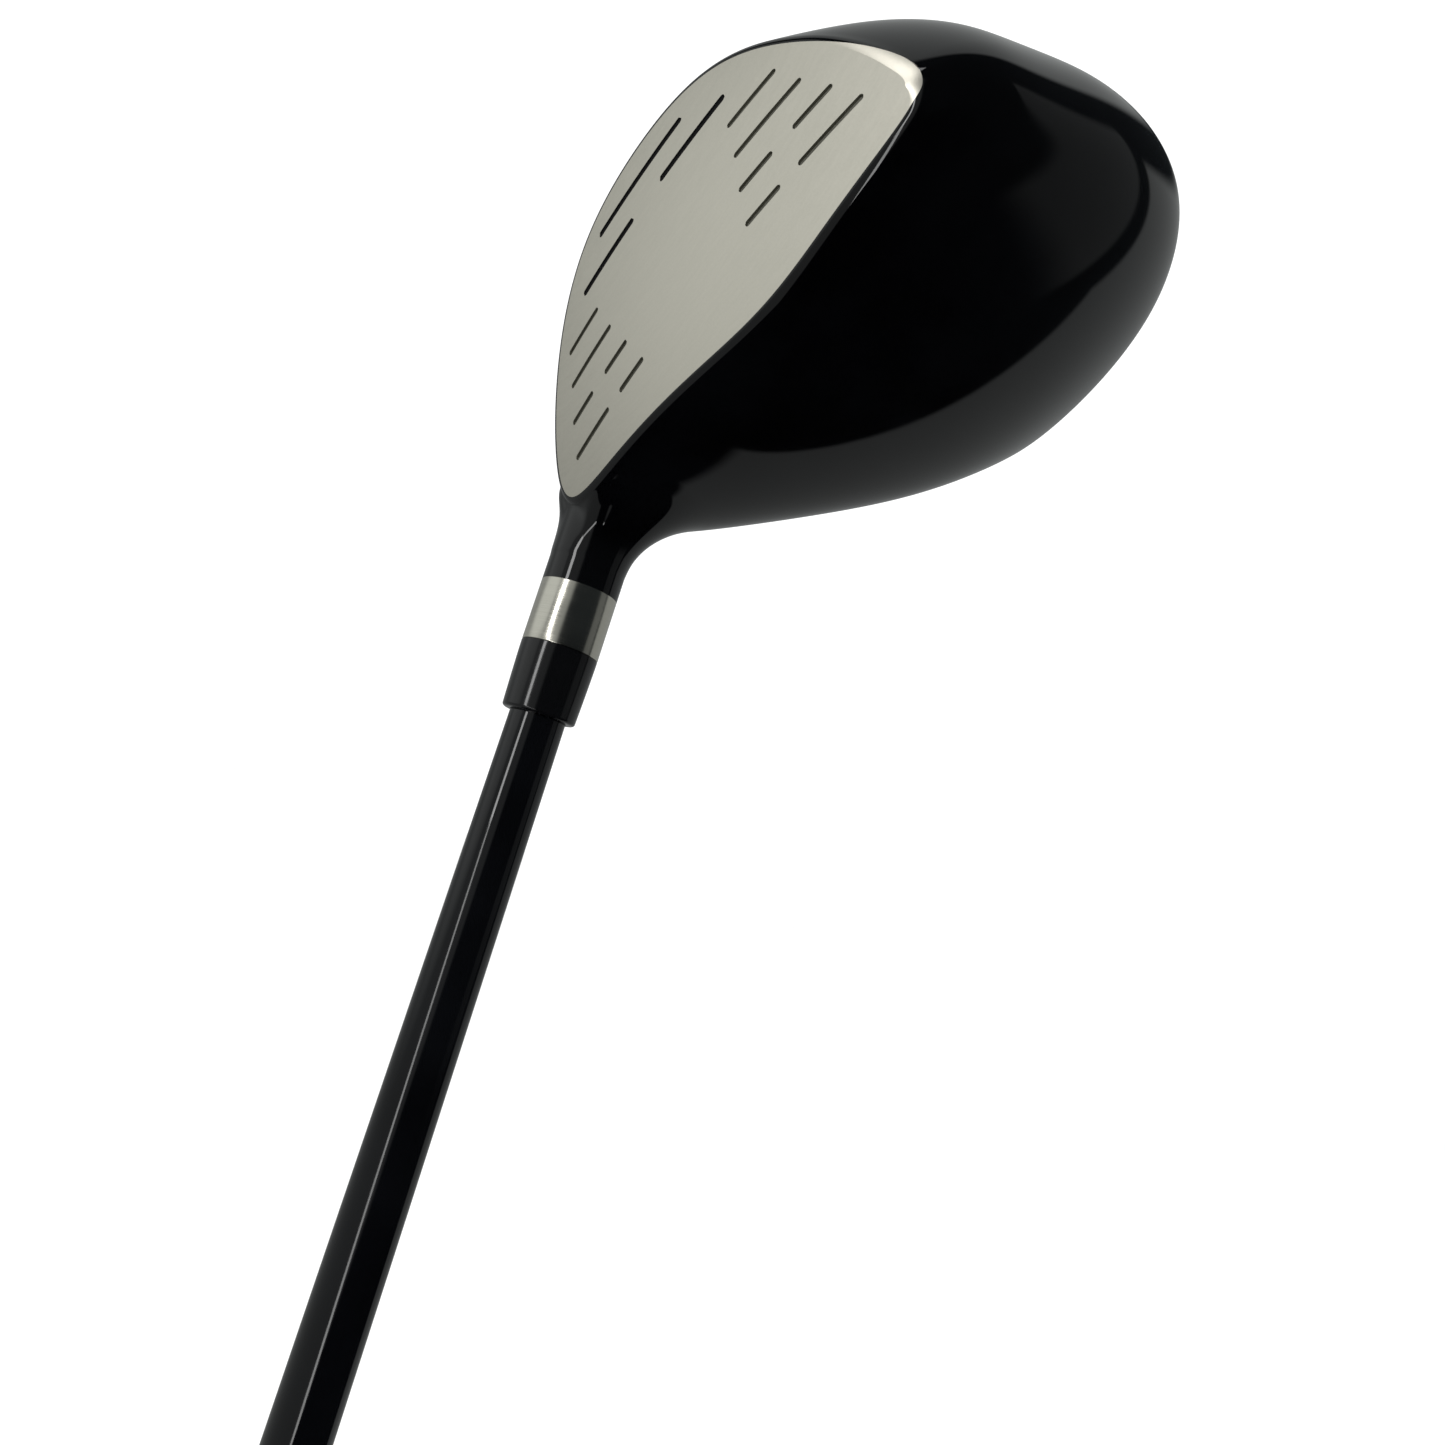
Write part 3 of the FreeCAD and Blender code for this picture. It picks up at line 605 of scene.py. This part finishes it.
def build_face():
    no = 384
    ao = 2 * np.pi * np.arange(no) / no
    so = shoulder(ao)
    ox, ov = so[0] @ XV, so[0] @ UV           # inner end of the roll in face coordinates
    pts = [(float(x), float(v)) for x, v in zip(ox, ov)]
    edg = [(i, (i + 1) % no) for i in range(no)]
    loops = []
    C = 0.12
    cc = lambda r: 0.21 if r <= 1 else C
    for x0, x1, r in SEGS:
        lp, m, p = loop_pts(x0, x1, ROW0 + PITCH * r, cc(r))
        s = len(pts)
        pts += lp
        edg += [(s + i, s + (i + 1) % len(lp)) for i in range(len(lp))]
        loops.append((s, len(lp), m, p, x0, x1, r))
    nb_ = len(pts)
    poly = np.array(pts[:no])
    def inside(q):
        x, y = q
        xs, ys = poly[:, 0], poly[:, 1]
        xn, yn = np.roll(xs, -1), np.roll(ys, -1)
        c = ((ys > y) != (yn > y)) & (x < (xn - xs) * (y - ys) / (yn - ys + 1e-12) + xs)
        return c.sum() % 2 == 1
    def clear(q):
        if np.hypot(poly[:, 0] - q[0], poly[:, 1] - q[1]).min() < 0.55:
            return False
        for x0, x1, r in SEGS:
            v = ROW0 + PITCH * r
            dx = max(x0 + GROOVE_W / 2 - q[0], 0, q[0] - x1 + GROOVE_W / 2)
            if math.hypot(dx, q[1] - v) < GROOVE_W / 2 + cc(r) + 0.45:
                return False
        return True
    g = 1.25
    for i, yy in enumerate(np.arange(-27, 27, g * 0.866)):
        for xx in np.arange(-46, 47, g):
            q = (xx + (g / 2 if i % 2 else 0), yy)
            if inside(q) and clear(q):
                pts.append(q)
    v2, e2, f2, ov_, oe_, of_ = delaunay_2d_cdt([Vector(p) for p in pts], edg, [], 1, 1e-6)
    # map output vertices back
    P2 = np.array([(v.x, v.y) for v in v2])
    back = {}
    for i, o in enumerate(ov_):
        for k in o:
            back[k] = i
    keep = []
    for f in f2:
        c = P2[list(f)].mean(0)
        bad = False
        for x0, x1, r in SEGS:
            v = ROW0 + PITCH * r
            dx = max(x0 + GROOVE_W / 2 - c[0], 0, c[0] - x1 + GROOVE_W / 2)
            if math.hypot(dx, c[1] - v) < GROOVE_W / 2 + C * 0.5:
                bad = True
                break
        if not bad:
            a_, b_, c_ = (P2[k] for k in f[:3])
            cr = (b_[0]-a_[0])*(c_[1]-a_[1])-(b_[1]-a_[1])*(c_[0]-a_[0])
            keep.append(tuple(f) if cr > 0 else tuple(f)[::-1])
    V = [p for p in face_pt(P2[:, 0], P2[:, 1])]
    N = [n for n in face_n(P2[:, 0], P2[:, 1])]
    F, MI = list(keep), [0] * len(keep)
    # orientation: counter-clockwise in (x, v) looks along -n or +n
    hand = np.dot(np.cross(XV, UV), NV)
    if hand < 0:
        F = [f[::-1] for f in F]
    # grooves
    for s, n_, m, p, x0, x1, r in loops:
        v = ROW0 + PITCH * r
        cur = [back[s + i] for i in range(n_)]
        rings = [(cc(r) * 0.7, -0.006, 0.35), (cc(r) * 0.3, -0.03, 0.8), (0.0, -C, 1.0), (0.0, -GROOVE_D + 0.12, 1.0), (-0.04, -GROOVE_D + 0.03, 0.5), (-0.12, -GROOVE_D, 0.0)]
        for off, d, tilt in rings:
            lp, _, _ = loop_pts(x0, x1, v, off)
            lp0, _, _ = loop_pts(x0, x1, v, off + 1.0)
            A = np.array(lp); B = np.array(lp0)
            o2 = unit(B - A)                       # outward in the plane
            pp = face_pt(A[:, 0], A[:, 1], d)
            fn = face_n(A[:, 0], A[:, 1])
            inw = -(o2[:, :1] * XV + o2[:, 1:] * UV)
            nn = unit(fn * (1 - tilt * 0.999) + inw * tilt)
            st = len(V)
            V += list(pp); N += list(nn)
            nxt = list(range(st, st + n_))
            for i in range(n_):
                k = (i + 1) % n_
                q = (cur[i], cur[k], nxt[k], nxt[i])
                # loops run clockwise in (x, v)
                F.append(q if hand < 0 else q[::-1]); MI.append(2 if r <= 1 else (1 if d < -0.02 else 0))
            cur = nxt
        for j in range(m):
            q = (cur[j], cur[j + 1], cur[2 * m + p - j + 1 - 1 + 0], cur[2 * m + p - j + 1])
            q = (cur[j], cur[j + 1], cur[m + 1 + p + (m - j - 1)], cur[m + 1 + p + (m - j)])
            F.append(q if hand < 0 else q[::-1]); MI.append(2 if r <= 1 else 1)
        ra = [cur[m]] + [cur[m + 1 + k] for k in range(p)] + [cur[m + 1 + p]]
        F.append(tuple(ra) if hand < 0 else tuple(ra[::-1])); MI.append(1)
        la = [cur[2 * m + 1 + p]] + [cur[2 * m + 2 + p + k] for k in range(p)] + [cur[0]]
        F.append(tuple(la) if hand < 0 else tuple(la[::-1])); MI.append(1)
    # silver roll at the toe corner, then the hidden side wall and back
    cur = [back[i] for i in range(no)]
    ts = silver_end(ao)
    steps = [(0.04, 0), (1/6, 0), (2/6, 0), (3/6, 0), (4/6, 0), (5/6, 0), (1, 0), (1, 0.04), (1, 0.4), (1, 2.9)]
    for f_, drop in steps:
        t = ts * f_
        pp = so[0] + so[2] * (so[3] * np.sin(t))[:, None] - so[1] * (so[3] * (1 - np.cos(t)))[:, None]
        tn = ts * (0.42 + 0.58 * f_)
        nn = so[2] * np.sin(tn)[:, None] + so[1] * np.cos(tn)[:, None]
        if drop == 0:
            # a hair of width keeps the quads alive where the roll is nil
            pp = pp + so[2] * (0.003 * f_)
        else:
            pp = pp + so[2] * 0.003 - so[1] * drop
            nn = so[2]
        st = len(V)
        V += list(pp); N += list(nn)
        nxt = list(range(st, st + no))
        for i in range(no):
            k = (i + 1) % no
            q = (cur[i], cur[k], nxt[k], nxt[i])
            F.append(q if hand < 0 else q[::-1]); MI.append(0)
        cur = nxt
    # back of the plate
    bv = [p for p in face_pt(P2[:no, 0] * 0 + np.array([pts[i][0] for i in range(no)]), np.array([pts[i][1] for i in range(no)]), -3.0)]
    cx, cv = np.array([0.0]), np.array([0.0])
    st = len(V)
    for f_ in (0.75, 0.5, 0.25):
        V += list(face_pt(np.array([pts[i][0] * f_ for i in range(no)]), np.array([pts[i][1] * f_ for i in range(no)]), -3.0))
        N += list(-face_n(np.array([pts[i][0] * f_ for i in range(no)]), np.array([pts[i][1] * f_ for i in range(no)])))
        nxt = list(range(st, st + no)); st += no
        for i in range(no):
            k = (i + 1) % no
            q = (cur[i], cur[k], nxt[k], nxt[i])
            F.append(q if hand < 0 else q[::-1]); MI.append(0)
        cur = nxt
    V.append(face_pt(cx, cv, -3.0)[0]); N.append(-NV)
    for i in range(no):
        q = (cur[i], cur[(i + 1) % no], st)
        F.append(q if hand < 0 else q[::-1]); MI.append(0)
    # material 1 darkens the bare grooves' walls and floors with painted shade in the recesses
    ob = make("face_plate_brushed", row(np.array(V)), F, FACE, ["face_plate"], rowdir(np.array(N)), [FACE, GROOVE_METAL_SHADED, FILL], MI)
    return ob
build_face()

def build_fill():
    V, F, N = [], [], []
    for x0, x1, r in SEGS:
        if r > 1:
            continue
        v = ROW0 + PITCH * r
        base = len(V)
        lp, m, p = loop_pts(x0, x1, v, -0.002)
        n_ = len(lp)
        for off, d in ((-0.002, -GROOVE_D + 0.004), (-0.002, -0.12), (-0.03, -0.155), (-0.15, -0.19)):
            A = np.array(loop_pts(x0, x1, v, off)[0])
            V += list(face_pt(A[:, 0], A[:, 1], d))
        for k_ in range(3):
            for i in range(n_):
                k = (i + 1) % n_
                F.append((base + k_ * n_ + i, base + k_ * n_ + k, base + (k_ + 1) * n_ + k, base + (k_ + 1) * n_ + i))
        for o_, fl in ((base + 3 * n_, False), (base, True)):
            cur = list(range(o_, o_ + n_))
            caps = [(cur[j], cur[j + 1], cur[m + 1 + p + (m - j - 1)], cur[m + 1 + p + (m - j)]) for j in range(m)]
            caps.append(tuple([cur[m]] + [cur[m + 1 + k] for k in range(p)] + [cur[m + 1 + p]]))
            caps.append(tuple([cur[2 * m + 1 + p]] + [cur[2 * m + 2 + p + k] for k in range(p)] + [cur[0]]))
            F += [c[::-1] if fl else c for c in caps]
    make("groove_paint", row(np.array(V)), F, FILL, ["groove_paint_fill"], None, sharp=40)
build_fill()

# ------------------------------------------------------------------ hosel tube, ferrule, shaft
tp = [(HB, z) for HB, z in ((4.78, Z(-22.0)), (6.0, Z(-22.0)), (6.0, Z(BAND_T0)))]
tp += [(BAND_R - 0.12, Z(BAND_T0)), (BAND_R - 0.03, Z(BAND_T0 + 0.05)), (BAND_R, Z(BAND_T0 + 0.16)),
       (BAND_R, Z((BAND_T0 + BAND_T1) / 2)), (BAND_R, Z(BAND_T1 - 0.2)), (BAND_R - 0.04, Z(BAND_T1 - 0.06)), (BAND_R - 0.14, Z(BAND_T1)),
       (4.78, Z(BAND_T1))]
V, F = lathe(tp, 160)
make("hosel_band", V, F, BAND, ["hosel_tube"], sharp=35)

fp = [(4.6, Z(BAND_T1)), (BAND_R - 0.10, Z(BAND_T1)), (BAND_R - 0.02, Z(BAND_T1 + 0.08)), (BAND_R, Z(BAND_T1 + 0.25))]
for i in range(1, 13):
    t = i / 12
    fp.append((BAND_R + (6.80 - BAND_R) * t ** 1.3, Z(BAND_T1 + 0.25 + (12.0 - 0.25) * t)))
cr, cz, rr = 6.80 - 0.62, Z(BAND_T1 + 12.05), 0.62
fp += arc(cr, cz, rr, -8, -80, 8)
fp += [(5.6, Z(56.0)), (5.24, Z(55.9)), (5.19, Z(55.6))]
V, F = lathe(fp, 160)
make("ferrule_collar", V, F, FERR, ["ferrule"], sharp=35)

SH_T = [(43.2, 4.6), (55.0, 5.12), (56.0, 5.17), (60.0, 5.19), (150.0, 5.58), (240.0, 5.965), (330.0, 6.35), (420.0, 6.64), (560.0, 7.03), (700.0, 7.36), (820.0, 7.62), (1097.0, 7.62)]
sp = [(4.6, Z(-19.0)), (4.6, Z(30.0))] + [(r, Z(t)) for t, r in SH_T]
sp += [(6.6, Z(1097.0)), (6.6, Z(820.0)), (5.2, Z(330.0)), (3.6, Z(60.0)), (3.0, Z(-19.0))]
V, F = lathe(sp, 160)
make("shaft_tube", V, F, SHAFT, ["shaft"], sharp=35)

# ------------------------------------------------------------------ grip
GR = Spline([833, 838, 880, 960, 1040, 1085, 1095], [9.9, 9.42, 9.75, 11.0, 12.6, 13.7, 14.25])
def build_grip():
    seg = 240
    ts = [833.0, 833.25, 833.8, 834.6, 835.6, 836.3, 836.9, 837.6, 838.5] + list(np.arange(839.5, 1094.4, 0.75)) + [1095.0]
    th = np.linspace(0, 2 * np.pi, seg, endpoint=False)
    V, F = [], []
    lip = {833.0: 9.45, 833.25: 9.72, 833.8: 9.88, 834.6: 9.92, 835.6: 9.86, 836.3: 9.66, 836.9: 9.46, 837.6: 9.38, 838.5: 9.40}
    for t in ts:
        r0 = lip.get(t, float(GR(t)) if t > 838.6 else 9.4)
        r = np.full(seg, r0)
        if 850 < t < 1086:
            # moulded pattern: staggered rows of short rounded slots, with a plain band half way
            band = smooth(850, 853, np.array(t)) * (1 - smooth(1082, 1085, np.array(t)))
            gap = 1 - math.exp(-((t - 965.0) / 4.0) ** 2)
            row_ = (t - 850) / 6.0
            k = math.floor(row_)
            fz = row_ - k
            u = th / (2 * np.pi) * 18 + (0.5 if k % 2 else 0.0)
            fu = np.abs((u % 1.0) - 0.5) * 2          # 0 in the slot's middle
            sl = smooth(0.62, 0.5, fu) * smooth(0.30, 0.24, np.array(abs(fz - 0.5)))
            r = r - 0.42 * sl * float(band) * gap
            if abs(t - 965.0) < 3.2:
                r = r - 0.25 * math.exp(-((abs(t - 965.0) - 2.2) / 0.5) ** 2)
        V += [(x * math.cos(a) / 1000, x * math.sin(a) / 1000, Z(t) / 1000) for x, a in zip(r, th)]
    n = len(ts)
    F = [f[::-1] for f in grid_faces(n, seg, True)]
    # bore
    o = len(V)
    for rr_, t in ((7.80, 1095.0), (7.80, 836.0), (7.66, 835.0), (7.66, 833.0)):
        V += [(rr_ * math.cos(a) / 1000, rr_ * math.sin(a) / 1000, Z(t) / 1000) for a in th]
    rings = [list(range((n - 1) * seg, n * seg))] + [list(range(o + i * seg, o + (i + 1) * seg)) for i in range(4)] + [list(range(seg))]
    for A, B in zip(rings, rings[1:]):
        for j in range(seg):
            k = (j + 1) % seg
            F.append((A[j], B[j], B[k], A[k]))
    make("grip", V, F, RUBBER, ["grip_sleeve"], sharp=50)
build_grip()
cp = [(7.62, Z(1095)), (14.25, Z(1095)), (14.6, Z(1095.25)), (15.0, Z(1095.8))] + arc(14.6, Z(1098.2), 1.0, 60, -62, 12) + \
     [(13.9, Z(1100.85)), (13.5, Z(1101.0)), (10.2, Z(1101.0)), (10.0, Z(1100.75)), (9.4, Z(1100.75)), (9.2, Z(1101.0)), (2.35, Z(1101.0)), (2.1, Z(1100.9)), (2.0, Z(1100.6)), (2.0, Z(1097.0)), (7.62, Z(1097.0))]
V, F = lathe(cp, 200)
make("grip_cap", V, F, RUBBER, ["grip_end_cap"], sharp=32)

for node, mat in (("sole_ribs", CAST), ("rear_weight_slug", CAST), ("hot_melt_pad", GLUE), ("hosel_bottom_plug", CAST),
                  ("epoxy_bond", GLUE), ("swing_weight_pin", BRASS), ("grip_tape", TAPE)):
    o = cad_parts[node]
    for s in o.material_slots:
        s.material = mat
    if not o.material_slots:
        o.data.materials.append(mat)

# ------------------------------------------------------------------ floor, light, camera
def floor():
    n = 40
    s = 60.0
    V = [(-s / 2 + s * i / n, -s / 2 + s * j / n, 0) for i in range(n + 1) for j in range(n + 1)]
    F = [(i * (n + 1) + j, (i + 1) * (n + 1) + j, (i + 1) * (n + 1) + j + 1, i * (n + 1) + j + 1) for i in range(n) for j in range(n)]
    me = bpy.data.meshes.new("floor")
    me.from_pydata(V, [], F)
    m = Mat("floor_pale")
    nz = m.noise(m.mapped(), 3.0, 4.0, 0.5)
    m.link(m.mixcol(m.ramp(nz, 0.3, 0.7), (0.90, 0.90, 0.895), (0.94, 0.94, 0.935)), "Base Color")
    m.set(Roughness=0.9)
    me.materials.append(m.m)
    ob = bpy.data.objects.new("floor", me)
    bpy.context.scene.collection.objects.link(ob)
    ob.visible_glossy = False
    ob.visible_shadow = False
floor()

# the studio: white backdrop and soft white light on matt surfaces; polished ones see a few plain softboxes,
# laid out by azimuth (0 along +Y, 90 along +X) and height above the horizon, in degrees
world = bpy.data.worlds.new("studio")
bpy.context.scene.world = world
world.use_nodes = True
world.cycles.sampling_method = "NONE"
wt = world.node_tree
wt.nodes.clear()
def wn(kind, **kw):
    n = wt.nodes.new(kind)
    for k, v in kw.items():
        setattr(n, k, v)
    return n
def wv(n, i, v):
    if isinstance(v, (int, float)):
        n.inputs[i].default_value = v
    else:
        wt.links.new(v, n.inputs[i])
def wm(op, a, b=0.0):
    n = wn("ShaderNodeMath", operation=op)
    wv(n, 0, a); wv(n, 1, b)
    return n.outputs[0]
def wstep(v, lo, hi, a=0.0, b=1.0):
    n = wn("ShaderNodeMapRange", interpolation_type="SMOOTHSTEP")
    wv(n, 0, v)
    for i, x in zip((1, 2, 3, 4), (lo, hi, a, b)):
        n.inputs[i].default_value = x
    return n.outputs[0]
def wcurve(v, pts, lo, hi, ylo, yhi):
    """value of v read off a curve through the points, v in lo..hi and the result in ylo..yhi"""
    n = wn("ShaderNodeFloatCurve")
    c = n.mapping.curves[0]
    pts = sorted(pts)
    q = [((x - lo) / (hi - lo), (y - ylo) / (yhi - ylo)) for x, y in pts]
    c.points[0].location = q[0]
    c.points[1].location = q[-1]
    for x, y in q[1:-1]:
        c.points.new(x, y)
    for p in c.points:
        p.handle_type = "AUTO_CLAMPED"
    n.mapping.update()
    wv(n, 1, wm("DIVIDE", wm("SUBTRACT", v, lo), hi - lo))
    return wm("ADD", wm("MULTIPLY", n.outputs[0], yhi - ylo), ylo)
wtc = wn("ShaderNodeTexCoord")
wsx = wn("ShaderNodeSeparateXYZ")
wt.links.new(wtc.outputs["Generated"], wsx.inputs[0])
AZ = wm("MULTIPLY", wm("ARCTAN2", wsx.outputs[0], wsx.outputs[1]), 57.29578)
EL = wm("MULTIPLY", wm("ARCSINE", wsx.outputs[2]), 57.29578)
def wblob(az, el, ra, re):
    dx = wm("DIVIDE", wm("SUBTRACT", AZ, az), ra)
    dy = wm("DIVIDE", wm("SUBTRACT", EL, el), re)
    r = wm("SQRT", wm("ADD", wm("MULTIPLY", dx, dx), wm("MULTIPLY", dy, dy)))
    return wstep(r, 1.0, 0.45)
# wide white sweep round the front and west, straight edges, the near one leaning
sweep = wm("MAXIMUM", wstep(wm("SUBTRACT", wm("ADD", 17.0, wm("MULTIPLY", wm("MINIMUM", EL, 0.0), 0.45)), AZ), 0.0, 2.0), wstep(AZ, 126.0, 136.0))
eA = wm("MULTIPLY", wm("MULTIPLY", sweep, wstep(EL, -60.0, -56.0)), wm("MULTIPLY", wstep(EL, 45.0, 40.0), 0.28))
# soft round key in front of the face
eK = wm("MULTIPLY", wblob(-156.0, 14.0, 36.0, 30.0), 0.34)
# narrow softbox on the far side
eB = wm("MULTIPLY", wm("MULTIPLY", wstep(AZ, 21.0, 23.0), wstep(AZ, 46.0, 44.0)), wm("MULTIPLY", wm("MULTIPLY", wstep(EL, -18.0, 0.0), wstep(EL, 54.0, 48.0)), 0.11))
# round overhead light, leaning west
up = wm("ADD", wm("ADD", wm("MULTIPLY", wsx.outputs[0], -0.3368), wm("MULTIPLY", wsx.outputs[1], 0.0594)), wm("MULTIPLY", wsx.outputs[2], 0.9397))
eT = wm("MULTIPLY", wstep(up, 0.839, 0.885), 0.36)
# dim fill
eE = wm("MULTIPLY", wstep(EL, -30.0, 10.0), 0.02)
def wcol(v, c):
    n = wn("ShaderNodeVectorMath", operation="SCALE")
    n.inputs[0].default_value = c
    wt.links.new(v, n.inputs["Scale"])
    return n.outputs[0]
def wadd(a, b):
    n = wn("ShaderNodeVectorMath", operation="ADD")
    wt.links.new(a, n.inputs[0]); wt.links.new(b, n.inputs[1])
    return n.outputs[0]
ENV = wadd(wcol(wm("ADD", wm("MAXIMUM", wm("MAXIMUM", eA, eB), eT), eK), (0.97, 1.0, 0.985)), wcol(eE, (0.86, 1.0, 1.10)))
bgE = wn("ShaderNodeBackground")
wt.links.new(ENV, bgE.inputs[0])
bgW = wn("ShaderNodeBackground")
bgW.inputs[0].default_value = (1, 1, 1, 1)
bgW.inputs[1].default_value = 1.2
wlp = wn("ShaderNodeLightPath")
wmx = wn("ShaderNodeMixShader")
wo = wn("ShaderNodeOutputWorld")
wt.links.new(wm("MAXIMUM", wlp.outputs["Is Camera Ray"], wlp.outputs["Is Diffuse Ray"]), wmx.inputs[0])
wt.links.new(bgE.outputs[0], wmx.inputs[1])
wt.links.new(bgW.outputs[0], wmx.inputs[2])
wt.links.new(wmx.outputs[0], wo.inputs[0])

def azel(az, el):
    a_, e_ = math.radians(az), math.radians(el)
    return Vector((math.sin(a_) * math.cos(e_), math.cos(a_) * math.cos(e_), math.sin(e_)))
def strip(name, d0, d1, width, dist, radiance, color=(1, 1, 1)):
    """rectangular light seen from the head between two directions, width in degrees"""
    c = Vector(row(np.array([0.0, -20.0, 0.0])).tolist())
    a, b = azel(*d0), azel(*d1)
    m = (a + b).normalized()
    y = (b - a).normalized()
    x = y.cross(-m).normalized()
    half = math.acos(max(-1, min(1, a.dot(b)))) / 2
    l = bpy.data.lights.new(name, "AREA")
    l.shape = "RECTANGLE"
    l.size = 2 * dist * math.tan(math.radians(width / 2))
    l.size_y = 2 * dist * math.tan(half)
    l.energy = radiance * math.pi * l.size * l.size_y
    l.color = color
    o = bpy.data.objects.new(name, l)
    bpy.context.scene.collection.objects.link(o)
    # a light shines along its own -Z, here towards the head
    o.matrix_world = Matrix((( x.x, y.x, m.x, 0), (x.y, y.y, m.y, 0), (x.z, y.z, m.z, 0), (0, 0, 0, 1)))
    o.location = c + m * dist
    o.visible_camera = False
    return o
strip("key_low", (129.0, -31.0), (161.0, -1.0), 4.0, 8.0, 5.0)
strip("key_strip", (161.5, -1.0), (162.5, 30.0), 8.0, 8.0, 7.0)
strip("key_high", (177.0, 40.0), (-178.0, 62.0), 30.0, 6.0, 2.3)

# camera, placed from the face: position and axes in the head frame
CAM_P = np.array([61.915, 70.004, 163.471])
CAM_R = np.array([[0.6158, -0.7732, 0.1513], [-0.5429, -0.2772, 0.7927], [-0.571, -0.5703, -0.5905]])
U_, S_, V_ = np.linalg.svd(CAM_R); CAM_R = U_ @ V_
right, down, fwd = (rowdir(v) for v in CAM_R)
cam = bpy.data.cameras.new("camera")
cam.sensor_width = 36.0
cam.lens = 1062.0 / 1445.0 * 36.0
cam.clip_start = 0.01
cam.clip_end = 50.0
co = bpy.data.objects.new("camera", cam)
bpy.context.scene.collection.objects.link(co)
M = Matrix(np.column_stack([right, -down, -fwd]).tolist()).to_4x4()
M.translation = Vector(row(CAM_P).tolist())
co.matrix_world = M
bpy.context.scene.camera = co

bpy.context.scene.view_settings.view_transform = "Standard"
